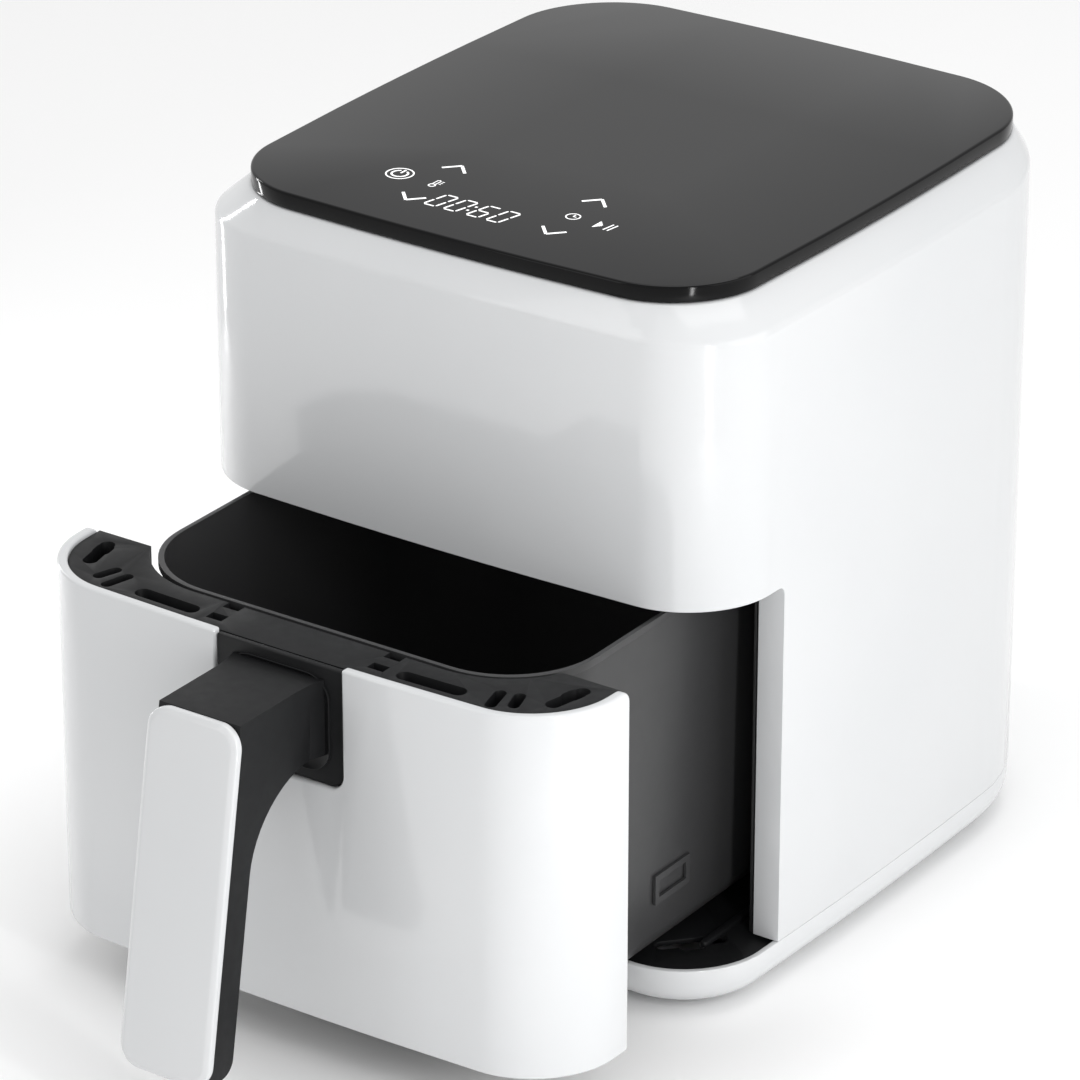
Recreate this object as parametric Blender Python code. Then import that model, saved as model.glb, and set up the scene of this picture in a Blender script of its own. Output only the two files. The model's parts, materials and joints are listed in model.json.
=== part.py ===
"""Compact air fryer with a pull-out drawer, modelled in metres with +Z up.

The drawer stands part of the way out. Every size below is in the frame of the housing: its centre is at
x = 0, y = 0, its front faces -Y and the table is z = 0. The whole model is then moved back along +Y, so
that the origin ends up under the middle of everything, handle included.
"""

import math

import bmesh
import bpy
from mathutils import Vector

# Housing
BODY_WIDTH = 0.246
BODY_DEPTH = 0.273
BODY_HEIGHT = 0.290
BODY_BOW = 0.0035  # how far each side bulges past a flat one
FRONT_RADIUS = 0.033
BACK_RADIUS = 0.074
SHELL_WALL = 0.0025
FOOT_HEIGHT = 0.003
SEAM_HEIGHT = 0.020  # where the shell meets the base
OPENING_TOP = 0.168
FRONT_WRAP = 0.047  # how far the drawer front reaches round the sides
JAMB_WIDTH = 0.011
FIT = 0.0003  # gap between pieces that touch
REVEAL = 0.0012  # visible gap round the drawer front

# Glass top
GLASS_INSET = 0.012
GLASS_FORWARD = 0.0055  # how far the glass sits in front of the housing's middle
GLASS_FRONT_RADIUS = 0.034
GLASS_BACK_RADIUS = 0.040
GLASS_THICKNESS = 0.0065
SHOULDER_DROP = 0.011
LEDGE_WIDTH = 0.014

# Base
BASE_WALL = 0.0025
BASE_TUCK = 0.012  # how far the underside is drawn in
FLOOR_THICKNESS = 0.002
FOOT_RADIUS = 0.009

# Drawer
DRAWER_OPEN = 0.099
PANEL_THICKNESS = 0.004
FRAME_DEPTH = 0.023
FRAME_HEIGHT = 0.012
FRAME_SLOT_INSET = 0.0085
PAN_WIDTH = 0.188
PAN_LENGTH = 0.200
PAN_RADIUS = 0.038
PAN_WALL = 0.0014
PAN_RIM = 0.003
PAN_FLOOR = 0.0225
PAN_TAPER = 0.004
CATCH_Y = -0.018
CATCH_Z = 0.050
CATCH_LENGTH = 0.023
CATCH_HEIGHT = 0.012
CATCH_RIM = 0.0025
CATCH_THICKNESS = 0.0012
CATCH_GAP = 0.0008
PLATE_LIFT = 0.014
PLATE_THICKNESS = 0.0016
PLATE_HOLE_RADIUS = 0.0045
PLATE_HOLE_PITCH = 0.024

# Handle
BRACKET_WIDTH = 0.056
BRACKET_HEIGHT = 0.047
BRACKET_RECESS = 0.0015
HANDLE_WIDTH = 0.036
HANDLE_REACH = 0.046
HANDLE_LEAN = math.radians(10.0)
HANDLE_LENGTH = 0.137
ARM_HEIGHT = 0.030
ARM_BEND = 0.031  # radius under the arm, where it turns down into the grip
GRIP_DEPTH = 0.014
COVER_WIDTH = 0.040
COVER_THICKNESS = 0.004
COVER_RADIUS = 0.009

# Cavity, heater and fan
CAVITY_HALF_WIDTH = 0.1065
CAVITY_BACK = 0.110
CAVITY_RADIUS = 0.040
LINER_WALL = 0.0012
CAVITY_TOP = 0.176
DOME_RADIUS = 0.086
DOME_HEIGHT = 0.038
DOME_WALL = 0.001
FAN_Y = 0.008
SHAFT_RADIUS = 0.0035
COIL_TUBE = 0.0035
MOTOR_RADIUS = 0.028
MOTOR_HEIGHT = 0.026
VENT_WIDTH = 0.090
VENT_HEIGHT = 0.050
VENT_BOTTOM = 0.190
VENT_LIP = 0.003  # how far the vent and the bush stand out at the back
GLAND_X = 0.036
GLAND_Z = 0.050
GLAND_RADIUS = 0.0065

HALF_WIDTH = BODY_WIDTH / 2
HALF_DEPTH = BODY_DEPTH / 2
JAMB_Y = -HALF_DEPTH + FRONT_WRAP
PANEL_TOP = OPENING_TOP - REVEAL
PANEL_BOTTOM = SEAM_HEIGHT + REVEAL
FRAME_TOP = PANEL_TOP - 0.0015
PAN_FRONT = -HALF_DEPTH + PANEL_THICKNESS + FRAME_DEPTH + FIT
PAN_BACK = PAN_FRONT + PAN_LENGTH
PAN_TOP = FRAME_TOP - 0.001
FLOOR_TOP = SEAM_HEIGHT - 0.0015
GLASS_BOTTOM = BODY_HEIGHT - GLASS_THICKNESS
BRACKET_BOTTOM = FRAME_TOP - BRACKET_HEIGHT
BRACKET_FACE = -HALF_DEPTH + BRACKET_RECESS
HANDLE_TOP = FRAME_TOP - 0.005
HANDLE_FOOT = HANDLE_TOP - HANDLE_LENGTH * math.cos(HANDLE_LEAN)
HANDLE_ROOT = BRACKET_FACE - FIT
GRIP_FRONT = HANDLE_ROOT - HANDLE_REACH
COVER_OUT = (COVER_THICKNESS + FIT) * math.cos(HANDLE_LEAN)
COVER_REACH = FIT + HANDLE_REACH + COVER_OUT + HANDLE_LENGTH * math.sin(HANDLE_LEAN)
DOME_TOP = CAVITY_TOP + DOME_HEIGHT
MOTOR_BOTTOM = DOME_TOP + 0.012
HANDLE_FRONT = BRACKET_FACE - COVER_REACH - DRAWER_OPEN
BACK_MOST = HALF_DEPTH + VENT_LIP
CENTRE_SHIFT = -(HANDLE_FRONT + BACK_MOST) / 2

ARC_STEPS = 7
BOW_STEPS = 4


# ---------------------------------------------------------------- modelling helpers

def clear_scene():
    for obj in list(bpy.data.objects):
        bpy.data.objects.remove(obj)


def make_material(name, colour, roughness, metallic=0.0):
    material = bpy.data.materials.new(name)
    material.use_nodes = True
    shader = material.node_tree.nodes["Principled BSDF"]
    shader.inputs["Base Color"].default_value = (*colour, 1.0)
    shader.inputs["Roughness"].default_value = roughness
    shader.inputs["Metallic"].default_value = metallic
    return material


def link(name, mesh, material, parent):
    obj = bpy.data.objects.new(name, mesh)
    bpy.context.scene.collection.objects.link(obj)
    obj.parent = parent
    if material is not None:
        obj.data.materials.append(material)
    mesh.shade_smooth()
    mesh.set_sharp_from_angle(angle=math.radians(35))
    return obj


def finish(name, bm, material, parent):
    bmesh.ops.recalc_face_normals(bm, faces=bm.faces)
    mesh = bpy.data.meshes.new(name)
    bm.to_mesh(mesh)
    bm.free()
    return link(name, mesh, material, parent)


def skin(name, rings, material, parent, loop=False):
    """Joins rings of equally many points. The two ends are filled, or joined to each other in a loop."""
    bm = bmesh.new()
    rows = [[bm.verts.new(point) for point in ring] for ring in rings]
    pairs = list(zip(rows, rows[1:]))
    if loop:
        pairs.append((rows[-1], rows[0]))
    else:
        bm.faces.new(rows[0])
        bm.faces.new(rows[-1])
    for low, high in pairs:
        for i in range(len(low)):
            j = (i + 1) % len(low)
            bm.faces.new((low[i], low[j], high[j], high[i]))
    return finish(name, bm, material, parent)


def at_height(points, z):
    return [(x, y, z) for x, y in points]


def rounded_rectangle(
    half_x, half_y, front_radius, back_radius=None, bow=0.0, centre=(0.0, 0.0), arc_steps=ARC_STEPS
):
    """Counter-clockwise outline. With a bow, the sides bulge out to half_x and half_y."""
    base_x = half_x - bow
    base_y = half_y - bow
    steps = BOW_STEPS if bow else 1
    back_radius = front_radius if back_radius is None else back_radius
    corners = []
    for sign_x, sign_y, start in ((1, -1, -90), (1, 1, 0), (-1, 1, 90), (-1, -1, 180)):
        radius = front_radius if sign_y < 0 else back_radius
        middle = (sign_x * (base_x - radius), sign_y * (base_y - radius))
        arc = []
        for i in range(arc_steps + 1):
            angle = math.radians(start + 90 * i / arc_steps)
            arc.append((middle[0] + radius * math.cos(angle), middle[1] + radius * math.sin(angle)))
        corners.append(arc)
    points = []
    for k, arc in enumerate(corners):
        points += arc
        end = arc[-1]
        following = corners[(k + 1) % 4][0]
        for i in range(1, steps):
            share = i / steps
            points.append([end[k] + (following[k] - end[k]) * share for k in (0, 1)])
    bowed = []
    for x, y in points:
        grow_x = 1 + bow / base_x * (1 - (y / base_y) ** 2)
        grow_y = 1 + bow / base_y * (1 - (x / base_x) ** 2)
        bowed.append((centre[0] + x * grow_x, centre[1] + y * grow_y))
    return bowed


def body_outline(inset):
    return rounded_rectangle(
        HALF_WIDTH - inset, HALF_DEPTH - inset, FRONT_RADIUS - inset, BACK_RADIUS - inset, BODY_BOW
    )


def glass_outline(inset):
    return rounded_rectangle(
        HALF_WIDTH - GLASS_INSET - inset, HALF_DEPTH - GLASS_INSET - inset,
        GLASS_FRONT_RADIUS - inset, GLASS_BACK_RADIUS - inset, BODY_BOW, (0, -GLASS_FORWARD),
    )


def between(first, second, share):
    """Outline part of the way from one outline to another with as many points."""
    return [(a[0] + (b[0] - a[0]) * share, a[1] + (b[1] - a[1]) * share) for a, b in zip(first, second)]


def box(name, low, high, material, parent):
    bm = bmesh.new()
    bmesh.ops.create_cube(bm, size=1.0)
    for vert in bm.verts:
        vert.co = Vector([low[k] if vert.co[k] < 0 else high[k] for k in range(3)])
    return finish(name, bm, material, parent)


def circle(radius, z, centre=(0.0, 0.0), steps=24):
    angles = [2 * math.pi * i / steps for i in range(steps)]
    return [(centre[0] + radius * math.cos(a), centre[1] + radius * math.sin(a), z) for a in angles]


def turned(name, profile, material, parent, centre=(0.0, 0.0), steps=24, loop=False):
    """A solid of revolution about a vertical axis. The profile is a list of (radius, z)."""
    return skin(name, [circle(r, z, centre, steps) for r, z in profile], material, parent, loop)


def boolean(obj, other, operation):
    modifier = obj.modifiers.new(operation.title(), "BOOLEAN")
    modifier.operation = operation
    modifier.solver = "EXACT"
    modifier.object = other
    other.hide_render = True
    other.display_type = "WIRE"


def cut(obj, other):
    boolean(obj, other, "DIFFERENCE")


def cut_box(obj, low, high):
    cut(obj, box(obj.name + "_cutter", low, high, None, obj.parent))


def add_box(obj, low, high):
    boolean(obj, box(obj.name + "_addition", low, high, None, obj.parent), "UNION")


def cut_slot(obj, centre, length, width, low_z, high_z, turn=0.0):
    """Cuts a vertical slot with round ends through obj."""
    half = (length - width) / 2
    outline = []
    for side in (1, -1):
        for i in range(5):
            angle = math.radians(-90 + 45 * i)
            x = side * (half + width / 2 * math.cos(angle))
            y = side * width / 2 * math.sin(angle)
            outline.append((
                centre[0] + x * math.cos(turn) - y * math.sin(turn),
                centre[1] + x * math.sin(turn) + y * math.cos(turn),
            ))
    rings = [at_height(outline, low_z), at_height(outline, high_z)]
    cut(obj, skin(obj.name + "_slot", rings, None, obj.parent))


# ---------------------------------------------------------------- housing

def outer_shell(material, root):
    wall = SHELL_WALL
    top = GLASS_BOTTOM - FIT
    shoulder_z = top - SHOULDER_DROP
    outside = body_outline(0)
    inside = body_outline(wall)
    edge = glass_outline(-0.0005)
    ledge = glass_outline(LEDGE_WIDTH)
    rings = [
        at_height(outside, SEAM_HEIGHT + FIT),
        at_height(outside, shoulder_z),
        at_height(between(outside, edge, 0.08), shoulder_z + 0.0018),
        at_height(between(outside, edge, 0.92), top - 0.0006),
        at_height(edge, top),
        at_height(ledge, top),
        at_height(ledge, top - wall),
        at_height(between(inside, edge, 0.86), top - wall),
        at_height(inside, shoulder_z - 0.001),
        at_height(inside, SEAM_HEIGHT + FIT),
    ]
    shell = skin("outer_shell", rings, material, root, loop=True)
    reach = HALF_DEPTH + 0.02
    cut_box(shell, (-reach, -reach, -0.01), (reach, JAMB_Y, OPENING_TOP))
    wall_middle = HALF_WIDTH - BODY_BOW * (JAMB_Y / (HALF_DEPTH - BODY_BOW)) ** 2 - wall / 2
    for side in (-1, 1):
        inner = side * (HALF_WIDTH - JAMB_WIDTH)
        outer = side * wall_middle
        low = (min(inner, outer), JAMB_Y, SEAM_HEIGHT + FIT)
        high = (max(inner, outer), JAMB_Y + wall, OPENING_TOP)
        add_box(shell, low, high)
    cut_box(
        shell,
        (-VENT_WIDTH / 2, HALF_DEPTH - 0.02, VENT_BOTTOM),
        (VENT_WIDTH / 2, HALF_DEPTH + 0.02, VENT_BOTTOM + VENT_HEIGHT),
    )
    bore = GLAND_RADIUS + FIT
    hole = turned("gland_hole", [(bore, -0.02), (bore, 0.02)], None, root, steps=16)
    hole.rotation_euler = (math.radians(90), 0, 0)
    hole.location = (GLAND_X, HALF_DEPTH, GLAND_Z)
    cut(shell, hole)
    return shell


def base_tray(material, root):
    wall = BASE_WALL
    drop = SEAM_HEIGHT - FOOT_HEIGHT
    profile = [
        (BASE_TUCK, FOOT_HEIGHT),
        (BASE_TUCK * 0.45, FOOT_HEIGHT + drop * 0.13),
        (BASE_TUCK * 0.15, FOOT_HEIGHT + drop * 0.38),
        (0, FOOT_HEIGHT + drop * 0.7),
        (0, SEAM_HEIGHT),
        (wall, SEAM_HEIGHT),
        (wall, FOOT_HEIGHT + drop * 0.7),
        (BASE_TUCK, FOOT_HEIGHT + wall),
    ]
    return skin("base_tray", [at_height(body_outline(inset), z) for inset, z in profile], material, root)


def floor_plate(material, root):
    inset = BASE_WALL + FIT
    low = FLOOR_TOP - FLOOR_THICKNESS
    plate = skin("floor_plate", [at_height(body_outline(inset), z) for z in (low, FLOOR_TOP)], material, root)
    for side in (-1, 1):
        middle = (side * (HALF_WIDTH - 0.030), -HALF_DEPTH + 0.031)
        cut_slot(plate, middle, 0.028, 0.007, low - 0.01, FLOOR_TOP + 0.01, side * math.radians(48))
    return plate


def front_lintel(material, root):
    """Closes the underside of the shell above the drawer front."""
    outline = body_outline(SHELL_WALL + FIT)
    rings = [at_height(outline, z) for z in (OPENING_TOP, OPENING_TOP + 0.0025)]
    lintel = skin("front_lintel", rings, material, root)
    reach = HALF_DEPTH + 0.02
    cut_box(lintel, (-reach, JAMB_Y + SHELL_WALL, 0), (reach, reach, 1))
    return lintel


def cavity_liner(material, root):
    """Dark box that the drawer slides into, open at the front and under the heater."""
    wall = LINER_WALL
    low = FLOOR_TOP + FIT
    half_y = (CAVITY_BACK + HALF_DEPTH + 0.02) / 2
    middle = (0, CAVITY_BACK - half_y)
    outer = rounded_rectangle(CAVITY_HALF_WIDTH + wall, half_y + wall, CAVITY_RADIUS + wall, centre=middle)
    inner = rounded_rectangle(CAVITY_HALF_WIDTH, half_y, CAVITY_RADIUS, centre=middle)
    liner = skin("cavity_liner", [at_height(outer, low), at_height(outer, CAVITY_TOP)], material, root)
    hollow_rings = [at_height(inner, low - 0.01), at_height(inner, CAVITY_TOP - wall)]
    cut(liner, skin("liner_hollow", hollow_rings, None, root))
    reach = HALF_DEPTH + 0.1
    cut_box(liner, (-reach, -reach, -0.01), (reach, JAMB_Y + SHELL_WALL + FIT, 1))
    hole = turned(
        "heater_hole",
        [(DOME_RADIUS - 0.004, CAVITY_TOP - 0.01), (DOME_RADIUS - 0.004, CAVITY_TOP + 0.01)],
        None, root, (0, FAN_Y), 32,
    )
    cut(liner, hole)
    return liner


def drawer_guides(material, root):
    """Spring clips on the floor that the pan slides past and that hold it shut."""
    for side, word in ((-1, "left"), (1, "right")):
        x = side * (PAN_WIDTH / 2 + 0.004)
        inner = x - side * 0.0012
        low = (min(x, inner), -0.045, FLOOR_TOP + FIT)
        high = (max(x, inner), -0.021, FLOOR_TOP + 0.014)
        clip = box("drawer_clip_" + word, low, high, material, root)
        foot = x + side * 0.006
        add_box(
            clip,
            (min(inner, foot), -0.045, FLOOR_TOP + FIT),
            (max(inner, foot), -0.021, FLOOR_TOP + FIT + 0.0014),
        )


def heater(steel, element, root):
    centre = (0, FAN_Y)
    wall = DOME_WALL
    low = CAVITY_TOP + FIT
    shaft_hole = SHAFT_RADIUS + 0.0015
    turned(
        "heater_dome",
        [
            (DOME_RADIUS + 0.006, low),
            (DOME_RADIUS, low),
            (DOME_RADIUS - 0.002, DOME_TOP - 0.006),
            (DOME_RADIUS - 0.010, DOME_TOP - wall),
            (shaft_hole, DOME_TOP - wall),
            (shaft_hole, DOME_TOP),
            (DOME_RADIUS - 0.010 + wall, DOME_TOP),
            (DOME_RADIUS - 0.002 + wall, DOME_TOP - 0.006),
            (DOME_RADIUS + wall, low + wall),
            (DOME_RADIUS + 0.006, low + wall),
        ],
        steel, root, centre, 32, loop=True,
    )
    heating_coil(element, root)
    guard = turned(
        "element_guard",
        [(DOME_RADIUS - 0.006, CAVITY_TOP + 0.002), (DOME_RADIUS - 0.006, CAVITY_TOP + 0.0032)],
        steel, root, centre, 32,
    )
    for i in range(8):
        angle = math.radians(22.5 + 45 * i)
        middle = (math.cos(angle) * 0.052, FAN_Y + math.sin(angle) * 0.052)
        cut_slot(guard, middle, 0.044, 0.013, CAVITY_TOP - 0.01, CAVITY_TOP + 0.02, angle)


def heating_coil(material, root):
    """One and three quarter turns of tube, as a bent pipe with closed ends."""
    turns = 1.75
    steps = 42
    sides = 8
    rings = []
    for i in range(steps + 1):
        share = i / steps
        angle = 2 * math.pi * turns * share
        radius = 0.066 - 0.022 * share
        rise = Vector((0, 0, 1))
        out = Vector((math.cos(angle), math.sin(angle), 0))
        middle = Vector((0, FAN_Y, CAVITY_TOP + 0.012)) + out * radius
        ring = []
        for k in range(sides):
            turn = 2 * math.pi * k / sides
            ring.append(middle + (out * math.cos(turn) + rise * math.sin(turn)) * COIL_TUBE)
        rings.append(ring)
    skin("heating_element", rings, material, root)


def motor(metal, board, root):
    centre = (0, FAN_Y)
    bottom = MOTOR_BOTTOM
    top = bottom + MOTOR_HEIGHT
    bore = SHAFT_RADIUS + 0.0008
    profile = [(bore, bottom), (MOTOR_RADIUS, bottom), (MOTOR_RADIUS, top), (bore, top)]
    turned("fan_motor", profile, metal, root, centre, loop=True)
    bracket = box(
        "motor_bracket",
        (-0.045, FAN_Y - 0.014, bottom + MOTOR_HEIGHT + FIT),
        (0.045, FAN_Y + 0.014, bottom + MOTOR_HEIGHT + FIT + 0.0015),
        metal, root,
    )
    for side in (-1, 1):
        inner = side * 0.0435
        outer = side * 0.045
        add_box(
            bracket,
            (min(inner, outer), FAN_Y - 0.014, DOME_TOP + FIT),
            (max(inner, outer), FAN_Y + 0.014, bottom + MOTOR_HEIGHT + FIT + 0.001),
        )
    hole = turned(
        "bracket_hole",
        [(SHAFT_RADIUS + 0.002, bottom), (SHAFT_RADIUS + 0.002, bottom + MOTOR_HEIGHT + 0.01)],
        None, root, centre, 16,
    )
    cut(bracket, hole)
    fuse = [(0.004, DOME_TOP + FIT), (0.004, DOME_TOP + 0.009)]
    turned("thermal_fuse", fuse, board, root, (0.062, FAN_Y - 0.03), 12)
    disc = [(0.008, DOME_TOP + FIT), (0.008, DOME_TOP + 0.007)]
    turned("thermostat", disc, board, root, (-0.062, FAN_Y - 0.03), 16)


def blade_wheel(name, radius, hub, low, high, blades, material, spin):
    """A hub with flat radial blades, whose origin is on the fan's axis."""
    bore = SHAFT_RADIUS + FIT
    profile = [(bore, low), (hub, low), (hub, high), (bore, high)]
    wheel = turned(name, profile, material, spin, steps=16, loop=True)
    for i in range(blades):
        blade = box(name + "_blade", (hub - 0.0015, -0.0007, low), (radius, 0.0007, high), None, spin)
        blade.rotation_euler = (0, 0, 2 * math.pi * i / blades + 0.1)
        boolean(wheel, blade, "UNION")
    under = high - 0.0012
    rim = radius - 0.004
    plate_profile = [(hub - 0.001, under), (rim, under), (rim, high), (hub - 0.001, high)]
    plate = turned(name + "_plate", plate_profile, None, spin, loop=True)
    boolean(wheel, plate, "UNION")
    return wheel


def fan(metal, plastic, spin):
    blade_wheel("hot_air_fan", 0.052, 0.010, DOME_TOP - 0.017, DOME_TOP - 0.005, 8, metal, spin)
    blade_wheel("cooling_fan", 0.034, 0.009, DOME_TOP + 0.002, DOME_TOP + 0.010, 7, plastic, spin)
    turned(
        "motor_shaft",
        [(SHAFT_RADIUS, DOME_TOP - 0.0225), (SHAFT_RADIUS, MOTOR_BOTTOM + MOTOR_HEIGHT + 0.006)],
        metal, spin, steps=16,
    )
    bore = (SHAFT_RADIUS + FIT) / math.cos(math.pi / 6)
    low = DOME_TOP - 0.0215
    high = DOME_TOP - 0.0175
    profile = [(bore, low), (0.0068, low), (0.0068, high), (bore, high)]
    turned("fan_nut", profile, metal, spin, steps=6, loop=True)


def glass_top(glass, dark, board, root):
    edge = 0.0006
    rings = [
        at_height(glass_outline(edge), GLASS_BOTTOM),
        at_height(glass_outline(0), GLASS_BOTTOM + edge),
        at_height(glass_outline(0), BODY_HEIGHT - edge),
        at_height(glass_outline(edge), BODY_HEIGHT),
    ]
    skin("glass_top", rings, glass, root)
    carrier_outline = glass_outline(LEDGE_WIDTH + FIT)
    rings = [at_height(carrier_outline, z) for z in (GLASS_BOTTOM - 0.0045, GLASS_BOTTOM - FIT)]
    carrier = skin("glass_carrier", rings, dark, root)
    cut_box(carrier, (-0.062, -0.088, 0), (0.062, -0.030, 1))
    board_top = GLASS_BOTTOM - 0.0015
    box("display_board", (-0.061, -0.087, board_top - 0.002), (0.061, -0.031, board_top), board, root)


def electronics(board, root):
    power_top = GLASS_BOTTOM - 0.0144
    low = (-0.050, CAVITY_BACK - 0.075, power_top - 0.0016)
    box("power_board", low, (0.050, CAVITY_BACK - 0.015, power_top), board, root)
    near = CAVITY_BACK + LINER_WALL + FIT
    box("reed_sensor", (-0.008, near, 0.078), (0.008, near + 0.0057, 0.090), board, root)


def rear_vent(dark, root):
    """Air outlet with louvres, let into the back of the shell."""
    half = VENT_WIDTH / 2 - FIT
    low = VENT_BOTTOM + FIT
    high = VENT_BOTTOM + VENT_HEIGHT - FIT
    front = HALF_DEPTH - 0.014
    vent = box("rear_vent", (-half, front, low), (half, HALF_DEPTH + VENT_LIP, high), dark, root)
    count = 5
    pitch = (high - low - 0.006) / count
    for i in range(count):
        z = low + 0.003 + pitch * i
        slot_low = (-half + 0.004, front - 0.01, z + 0.0012)
        cut_box(vent, slot_low, (half - 0.004, HALF_DEPTH + 0.01, z + pitch - 0.0012))


def cord_gland(rubber, root):
    """Bush in the back wall that the mains lead would pass through."""
    radius = GLAND_RADIUS
    out = BACK_MOST - HALF_DEPTH
    flange = radius + 0.002
    profile = [
        (0.0036, -out),
        (radius - 0.001, -out),
        (flange, -out / 2),
        (flange, -FIT),
        (radius, -FIT),
        (radius, 0.012),
        (0.0036, 0.012),
    ]
    gland = turned("cord_gland", profile, rubber, root, steps=16, loop=True)
    gland.rotation_euler = (math.radians(90), 0, 0)
    gland.location = (GLAND_X, HALF_DEPTH, GLAND_Z)


def feet(rubber, metal, root):
    spots = (("front_left", -1, -1), ("front_right", 1, -1), ("back_left", -1, 1), ("back_right", 1, 1))
    for word, side_x, side_y in spots:
        centre = (side_x * (HALF_WIDTH - 0.042), side_y * (HALF_DEPTH - 0.042))
        turned(
            "foot_" + word,
            [(FOOT_RADIUS - 0.001, 0), (FOOT_RADIUS, 0.0008), (FOOT_RADIUS, FOOT_HEIGHT - FIT)],
            rubber, root, centre, 16,
        )
        screw_at = (side_x * (HALF_WIDTH - 0.062), side_y * (HALF_DEPTH - 0.030))
        head = [(0.0030, FOOT_HEIGHT - 0.0018), (0.0030, FOOT_HEIGHT - FIT)]
        turned("base_screw_" + word, head, metal, root, screw_at, 10)


# ---------------------------------------------------------------- drawer

def pan_outline(inset, grow=0.0):
    out = grow - inset
    centre = (0, (PAN_FRONT + PAN_BACK) / 2)
    return rounded_rectangle(PAN_WIDTH / 2 + out, PAN_LENGTH / 2 + out, PAN_RADIUS + out, centre=centre)


def drawer_panel(material, drawer):
    """White outer front, wrapped round both front corners, with a notch for the handle bracket."""
    thick = PANEL_THICKNESS
    round_off = 0.0014
    profile = [
        (round_off, PANEL_BOTTOM),
        (0, PANEL_BOTTOM + round_off),
        (0, PANEL_TOP - round_off),
        (round_off, PANEL_TOP),
        (thick - 0.0006, PANEL_TOP),
        (thick, PANEL_TOP - 0.0006),
        (thick, PANEL_BOTTOM),
    ]
    rings = [at_height(body_outline(inset), z) for inset, z in profile]
    panel = skin("drawer_panel", rings, material, drawer, loop=True)
    reach = HALF_DEPTH + 0.02
    cut_box(panel, (-reach, JAMB_Y - REVEAL, -0.01), (reach, reach, 1))
    half = BRACKET_WIDTH / 2 + FIT
    cut_box(panel, (-half, -reach, BRACKET_BOTTOM - FIT), (half, -HALF_DEPTH + 0.05, 1))


def drawer_frame(material, drawer):
    """Dark moulded frame inside the panel: a slotted top strip, two ears and a back wall behind the panel."""
    gap = PANEL_THICKNESS + FIT
    outer = body_outline(gap)
    low = FRAME_TOP - FRAME_HEIGHT
    frame = skin("drawer_frame", [at_height(outer, z) for z in (low, FRAME_TOP)], material, drawer)
    reach = HALF_DEPTH + 0.02
    cut_box(frame, (-reach, JAMB_Y - REVEAL, -0.01), (reach, reach, 1))
    clearance = pan_outline(0, PAN_RIM + FIT)
    cut(frame, skin("pan_clearance", [at_height(clearance, z) for z in (0, BODY_HEIGHT)], None, drawer))
    skirt_face = gap + 0.0005
    skirt_profile = [
        (skirt_face, PANEL_BOTTOM + 0.001),
        (skirt_face, low + 0.002),
        (skirt_face + 0.002, low + 0.002),
        (skirt_face + 0.002, PANEL_BOTTOM + 0.001),
    ]
    skirt_rings = [at_height(body_outline(inset), z) for inset, z in skirt_profile]
    skirt = skin("frame_skirt", skirt_rings, None, drawer, loop=True)
    cut_box(skirt, (-reach, JAMB_Y - REVEAL - 0.002, -0.01), (reach, reach, 1))
    boolean(frame, skirt, "UNION")
    half = BRACKET_WIDTH / 2 - 0.002
    low_pad = (-half, -HALF_DEPTH + 0.0055, BRACKET_BOTTOM + 0.002)
    add_box(frame, low_pad, (half, -HALF_DEPTH + 0.010, FRAME_TOP - 0.002))
    cut_frame_recesses(frame)


def cut_frame_recesses(frame):
    """Slots and pockets in the top of the frame, the same on both sides."""
    over = FRAME_TOP + 0.01
    slot_y = -HALF_DEPTH + PANEL_THICKNESS + FRAME_SLOT_INSET
    notch_y = PAN_FRONT - PAN_RIM - FIT
    slot_low = FRAME_TOP - 0.008
    short_low = FRAME_TOP - 0.009
    for side in (-1, 1):
        cut_slot(frame, (side * 0.059, slot_y), 0.029, 0.0065, slot_low, over, side * math.radians(2))
        outer, inner, ear = [side * math.radians(turned_by) for turned_by in (108, 104, 78)]
        cut_slot(frame, (side * 0.0915, slot_y + 0.006), 0.012, 0.0045, short_low, over, outer)
        cut_slot(frame, (side * 0.0845, slot_y + 0.003), 0.014, 0.0045, short_low, over, inner)
        cut_slot(frame, (side * 0.1050, slot_y + 0.018), 0.020, 0.006, slot_low, over, ear)
        low_x, high_x = sorted((side * 0.0325, side * 0.0395))
        cut_box(frame, (low_x, slot_y - 0.0025, FRAME_TOP - 0.006), (high_x, slot_y + 0.002, over))
        cut_box(frame, (low_x, notch_y - 0.004, FRAME_TOP - 0.006), (high_x, notch_y + 0.01, over))


def pan(material, drawer):
    floor = PAN_FLOOR
    taper = PAN_TAPER
    profile = [
        (taper + 0.010, floor),
        (taper + 0.003, floor + 0.003),
        (taper, floor + 0.010),
        (PAN_WALL, PAN_TOP - 0.006),
        (0, PAN_TOP - 0.003),
        (0, PAN_TOP),
        (PAN_WALL + 0.002, PAN_TOP),
        (PAN_WALL * 2 + 0.001, PAN_TOP - 0.003),
        (taper + PAN_WALL, floor + 0.010),
        (taper + 0.003 + PAN_WALL, floor + 0.004),
        (taper + 0.010, floor + PAN_WALL),
    ]
    skin("pan", [at_height(pan_outline(inset), z) for inset, z in profile], material, drawer)
    box("drawer_magnet", (-0.006, PAN_BACK + FIT, 0.080), (0.006, PAN_BACK + 0.003, 0.088), material, drawer)


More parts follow.
